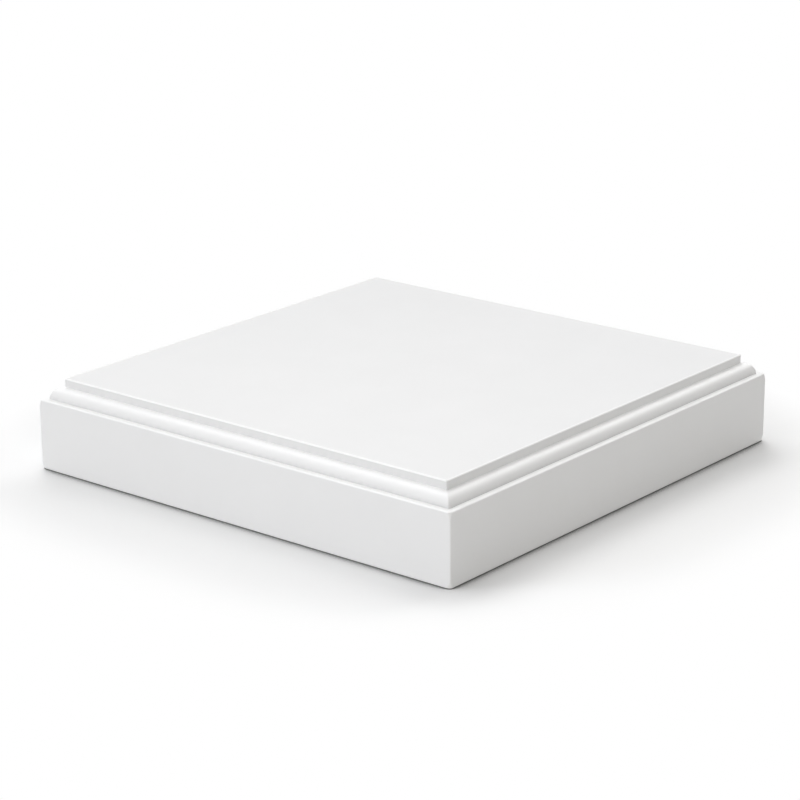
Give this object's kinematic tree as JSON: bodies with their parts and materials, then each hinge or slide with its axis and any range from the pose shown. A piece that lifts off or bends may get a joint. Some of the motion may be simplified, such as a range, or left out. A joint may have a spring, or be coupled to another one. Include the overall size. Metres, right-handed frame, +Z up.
{
  "type": "newel post cap",
  "caption": "Square flat-topped newel post cap with a plain fascia, a quarter-round bead on a narrow shelf and a low raised top.",
  "frame": {"origin": "centre of the flat underside, where the cap beds on its post", "axes": "+Z up through the middle of the top; X and Y square to the four sides, which are alike"},
  "size_m": [0.3556, 0.3556, 0.0638],
  "materials": {
    "primed_urethane": "high-density polyurethane from a mould, sprayed with a low-sheen white primer"
  },
  "bodies": {
    "root": {"newel_cap": "primed_urethane"}
  },
  "joints": []
}
